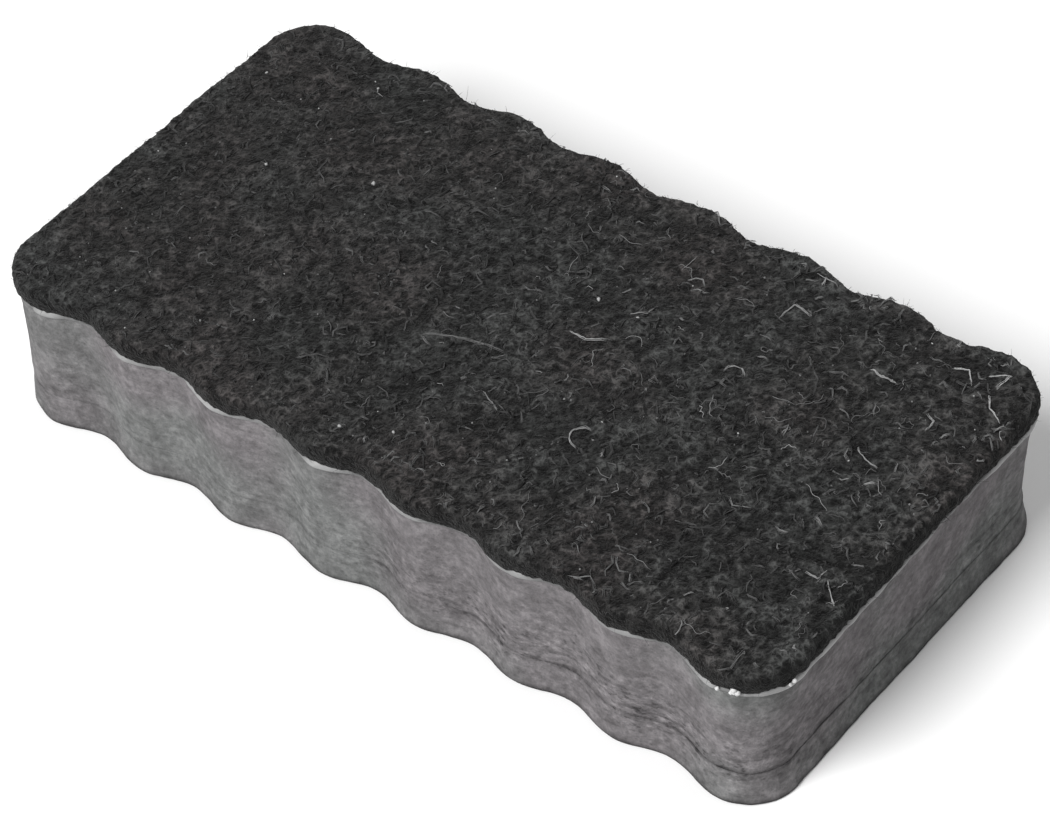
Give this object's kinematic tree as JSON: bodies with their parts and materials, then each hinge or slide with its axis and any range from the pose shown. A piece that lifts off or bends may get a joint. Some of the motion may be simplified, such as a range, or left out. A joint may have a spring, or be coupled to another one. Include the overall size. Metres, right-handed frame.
{
  "type": "chalkboard eraser",
  "caption": "Block board eraser: a felt wiping pad bonded to a die-cut grey foam body with wavy grip sides, straight short ends and round corners.",
  "frame": {"origin": "centre of the flat back face of the foam, under the middle of the eraser", "axes": "+X along the eraser's length, +Y across it from one wavy side to the other, +Z out of the felt face"},
  "size_m": [0.105, 0.0544, 0.0205],
  "materials": {
    "felt": "charcoal needled wool-blend felt, matt, with pale lint",
    "foam": "grey closed-cell EVA foam, die-cut wall, matt",
    "dried_adhesive": "thin dried adhesive, pale and slightly milky"
  },
  "bodies": {
    "root": {"felt_pad": "felt", "felt_glue_film": "dried_adhesive", "foam_block": "foam", "ply_glue_film": "dried_adhesive", "foam_base_ply": "foam"}
  },
  "joints": []
}
